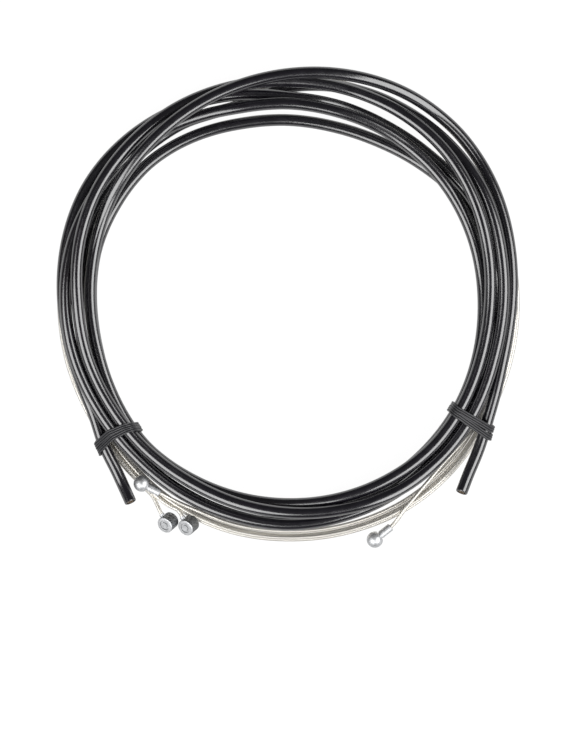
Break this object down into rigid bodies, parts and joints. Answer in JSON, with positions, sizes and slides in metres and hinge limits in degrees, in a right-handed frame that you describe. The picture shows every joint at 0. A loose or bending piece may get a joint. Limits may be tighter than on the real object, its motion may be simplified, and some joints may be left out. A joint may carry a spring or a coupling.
{
  "type": "bicycle brake cable",
  "caption": "Coil of black cable housing with two stainless inner wires laid in it, barrel and pear heads, held by two twist ties.",
  "frame": {"origin": "on the floor under the middle of the coil's box", "axes": "+Z up out of the flat coil, +X to the right and +Y up as one looks down on it with the heads at the bottom"},
  "size_m": [0.1924, 0.1986, 0.0228],
  "materials": {
    "jacket": "glossy black extruded plastic",
    "winding": "plain drawn flat wire",
    "liner": "waxy pale plastic",
    "wire": "bright stranded stainless steel",
    "head": "satin die-cast metal",
    "tie": "satin ribbed plastic over a wire core"
  },
  "bodies": {
    "root": {"housing_jacket": "jacket", "housing_winding_left": "winding", "housing_winding_right": "winding", "housing_liner_left": "liner", "housing_liner_right": "liner", "long_inner_wire": "wire", "short_inner_wire": "wire", "long_inner_wire_barrel_head": "head", "long_inner_wire_pear_head": "head", "short_inner_wire_barrel_head": "head", "short_inner_wire_pear_head": "head", "twist_tie_left": "tie", "twist_tie_right": "tie"}
  },
  "joints": []
}
